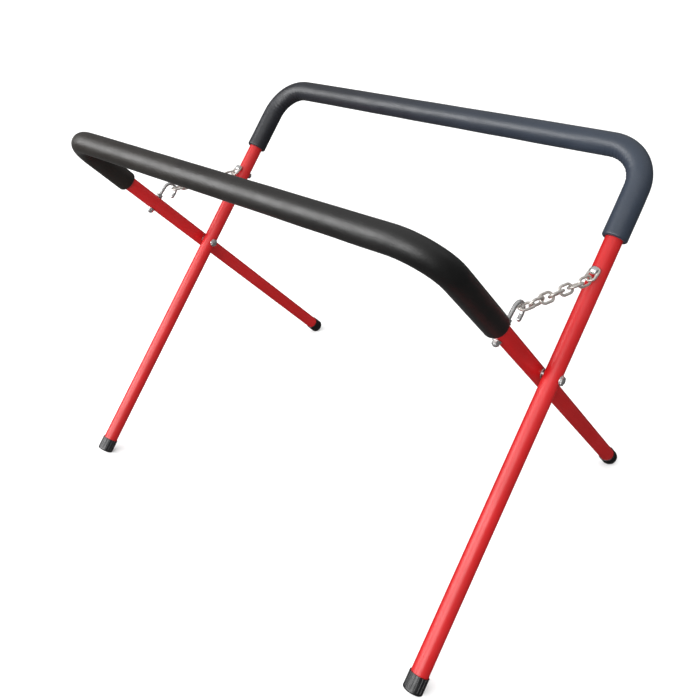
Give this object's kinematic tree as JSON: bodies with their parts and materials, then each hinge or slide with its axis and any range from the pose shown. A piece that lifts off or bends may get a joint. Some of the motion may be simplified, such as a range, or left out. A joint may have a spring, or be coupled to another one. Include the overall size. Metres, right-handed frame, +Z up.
{
  "type": "folding sawhorse",
  "caption": "Folding X-shaped work stand: crossed U-shaped tube frames with foam-padded top bars, hinged on pivot bolts and held open by a hooked chain on each side.",
  "frame": {"origin": "on the floor, midway between the four feet", "axes": "+X along the top bars to the stand's right, -Y the front, +Z up; the frames fold about X"},
  "size_m": [0.829, 0.6284, 0.6261],
  "materials": {
    "red_paint": "gloss enamel",
    "front_foam": "satin foam skin",
    "rear_foam": "satin foam skin",
    "foot_rubber": "satin",
    "zinc": "bright zinc plate",
    "chain_steel": "zinc plate"
  },
  "bodies": {
    "front_frame": {"front_frame_tube": "red_paint", "front_pad": "front_foam", "rear_right_foot_cap": "foot_rubber", "rear_left_foot_cap": "foot_rubber", "right_pivot_bolt": "zinc", "left_pivot_bolt": "zinc", "right_pivot_nut": "zinc", "left_pivot_nut": "zinc", "right_pivot_washers": "zinc", "left_pivot_washers": "zinc", "right_chain_hook": "zinc", "left_chain_hook": "zinc", "right_hook_cap_nut": "zinc", "left_hook_cap_nut": "zinc", "right_hook_lock_nut": "zinc", "left_hook_lock_nut": "zinc", "hook_washers": "zinc"},
    "rear_frame": {"rear_frame_tube": "red_paint", "rear_pad": "rear_foam", "front_right_foot_cap": "foot_rubber", "front_left_foot_cap": "foot_rubber", "right_chain_bolt": "zinc", "left_chain_bolt": "zinc", "right_chain_nut": "zinc", "left_chain_nut": "zinc", "chain_washers": "zinc"},
    "right_chain_8": {"right_link_8": "chain_steel"},
    "right_chain_7": {"right_link_7": "chain_steel"},
    "right_chain_6": {"right_link_6": "chain_steel"},
    "right_chain_5": {"right_link_5": "chain_steel"},
    "right_chain_4": {"right_link_4": "chain_steel"},
    "right_chain_3": {"right_link_3": "chain_steel"},
    "right_chain_2": {"right_link_2": "chain_steel"},
    "right_chain_1": {"right_link_1": "chain_steel"},
    "left_chain_8": {"left_link_8": "chain_steel"},
    "left_chain_7": {"left_link_7": "chain_steel"},
    "left_chain_6": {"left_link_6": "chain_steel"},
    "left_chain_5": {"left_link_5": "chain_steel"},
    "left_chain_4": {"left_link_4": "chain_steel"},
    "left_chain_3": {"left_link_3": "chain_steel"},
    "left_chain_2": {"left_link_2": "chain_steel"},
    "left_chain_1": {"left_link_1": "chain_steel"}
  },
  "joints": [
    {"name": "fold", "type": "hinge", "parent": "front_frame", "child": "rear_frame", "pos_m": [0, 0, 0.34681], "axis": [1, 0, 0], "range_deg": [0, 76]},
    {"name": "right_link_8_swivel", "type": "hinge", "parent": "rear_frame", "child": "right_chain_8", "pos_m": [0.3957, 0.09309, 0.47291], "axis": [0, -0.7431, 0.6691], "range_deg": [0, 95.5]},
    {"name": "right_link_7_swing", "type": "hinge", "parent": "right_chain_8", "child": "right_chain_7", "pos_m": [0.3962, 0.07842, 0.46592], "axis": [-0.5009, 0.129, -0.8558], "range_deg": [0, 8]},
    {"name": "right_link_6_swing", "type": "hinge", "parent": "right_chain_7", "child": "right_chain_6", "pos_m": [0.39211, 0.06049, 0.46561], "axis": [-0.5009, 0.129, -0.8558], "range_deg": [0, 8]},
    {"name": "right_link_5_swing", "type": "hinge", "parent": "right_chain_6", "child": "right_chain_5", "pos_m": [0.38802, 0.04257, 0.46529], "axis": [-0.5009, 0.129, -0.8558], "range_deg": [0, 8]},
    {"name": "right_link_4_swing", "type": "hinge", "parent": "right_chain_5", "child": "right_chain_4", "pos_m": [0.38393, 0.02464, 0.46498], "axis": [-0.5009, 0.129, -0.8558], "range_deg": [0, 8]},
    {"name": "right_link_3_swing", "type": "hinge", "parent": "right_chain_4", "child": "right_chain_3", "pos_m": [0.37984, 0.00672, 0.46467], "axis": [-0.5009, 0.129, -0.8558], "range_deg": [0, 8]},
    {"name": "right_link_2_swing", "type": "hinge", "parent": "right_chain_3", "child": "right_chain_2", "pos_m": [0.37576, -0.01121, 0.46436], "axis": [-0.5009, 0.129, -0.8558], "range_deg": [0, 8]},
    {"name": "right_link_1_swing", "type": "hinge", "parent": "right_chain_2", "child": "right_chain_1", "pos_m": [0.37167, -0.02913, 0.46405], "axis": [-0.5009, 0.129, -0.8558], "range_deg": [0, 8]},
    {"name": "left_link_8_swivel", "type": "hinge", "parent": "rear_frame", "child": "left_chain_8", "pos_m": [-0.3683, 0.09309, 0.47291], "axis": [0, -0.7431, 0.6691], "range_deg": [0, 95.5]},
    {"name": "left_link_7_swing", "type": "hinge", "parent": "left_chain_8", "child": "left_chain_7", "pos_m": [-0.3678, 0.07842, 0.46592], "axis": [-0.5009, 0.129, -0.8558], "range_deg": [0, 8]},
    {"name": "left_link_6_swing", "type": "hinge", "parent": "left_chain_7", "child": "left_chain_6", "pos_m": [-0.37189, 0.06049, 0.46561], "axis": [-0.5009, 0.129, -0.8558], "range_deg": [0, 8]},
    {"name": "left_link_5_swing", "type": "hinge", "parent": "left_chain_6", "child": "left_chain_5", "pos_m": [-0.37598, 0.04257, 0.46529], "axis": [-0.5009, 0.129, -0.8558], "range_deg": [0, 8]},
    {"name": "left_link_4_swing", "type": "hinge", "parent": "left_chain_5", "child": "left_chain_4", "pos_m": [-0.38007, 0.02464, 0.46498], "axis": [-0.5009, 0.129, -0.8558], "range_deg": [0, 8]},
    {"name": "left_link_3_swing", "type": "hinge", "parent": "left_chain_4", "child": "left_chain_3", "pos_m": [-0.38416, 0.00672, 0.46467], "axis": [-0.5009, 0.129, -0.8558], "range_deg": [0, 8]},
    {"name": "left_link_2_swing", "type": "hinge", "parent": "left_chain_3", "child": "left_chain_2", "pos_m": [-0.38825, -0.01121, 0.46436], "axis": [-0.5009, 0.129, -0.8558], "range_deg": [0, 8]},
    {"name": "left_link_1_swing", "type": "hinge", "parent": "left_chain_2", "child": "left_chain_1", "pos_m": [-0.39233, -0.02913, 0.46405], "axis": [-0.5009, 0.129, -0.8558], "range_deg": [0, 8]}
  ],
  "couplings": [
    {"joint": "right_link_8_swivel", "follows": "fold", "ratio": 1.25},
    {"joint": "right_link_7_swing", "follows": "fold", "ratio": 0.1},
    {"joint": "right_link_6_swing", "follows": "fold", "ratio": 0.1},
    {"joint": "right_link_5_swing", "follows": "fold", "ratio": 0.1},
    {"joint": "right_link_4_swing", "follows": "fold", "ratio": 0.1},
    {"joint": "right_link_3_swing", "follows": "fold", "ratio": 0.1},
    {"joint": "right_link_2_swing", "follows": "fold", "ratio": 0.1},
    {"joint": "right_link_1_swing", "follows": "fold", "ratio": 0.1},
    {"joint": "left_link_8_swivel", "follows": "fold", "ratio": 1.25},
    {"joint": "left_link_7_swing", "follows": "fold", "ratio": 0.1},
    {"joint": "left_link_6_swing", "follows": "fold", "ratio": 0.1},
    {"joint": "left_link_5_swing", "follows": "fold", "ratio": 0.1},
    {"joint": "left_link_4_swing", "follows": "fold", "ratio": 0.1},
    {"joint": "left_link_3_swing", "follows": "fold", "ratio": 0.1},
    {"joint": "left_link_2_swing", "follows": "fold", "ratio": 0.1},
    {"joint": "left_link_1_swing", "follows": "fold", "ratio": 0.1}
  ]
}
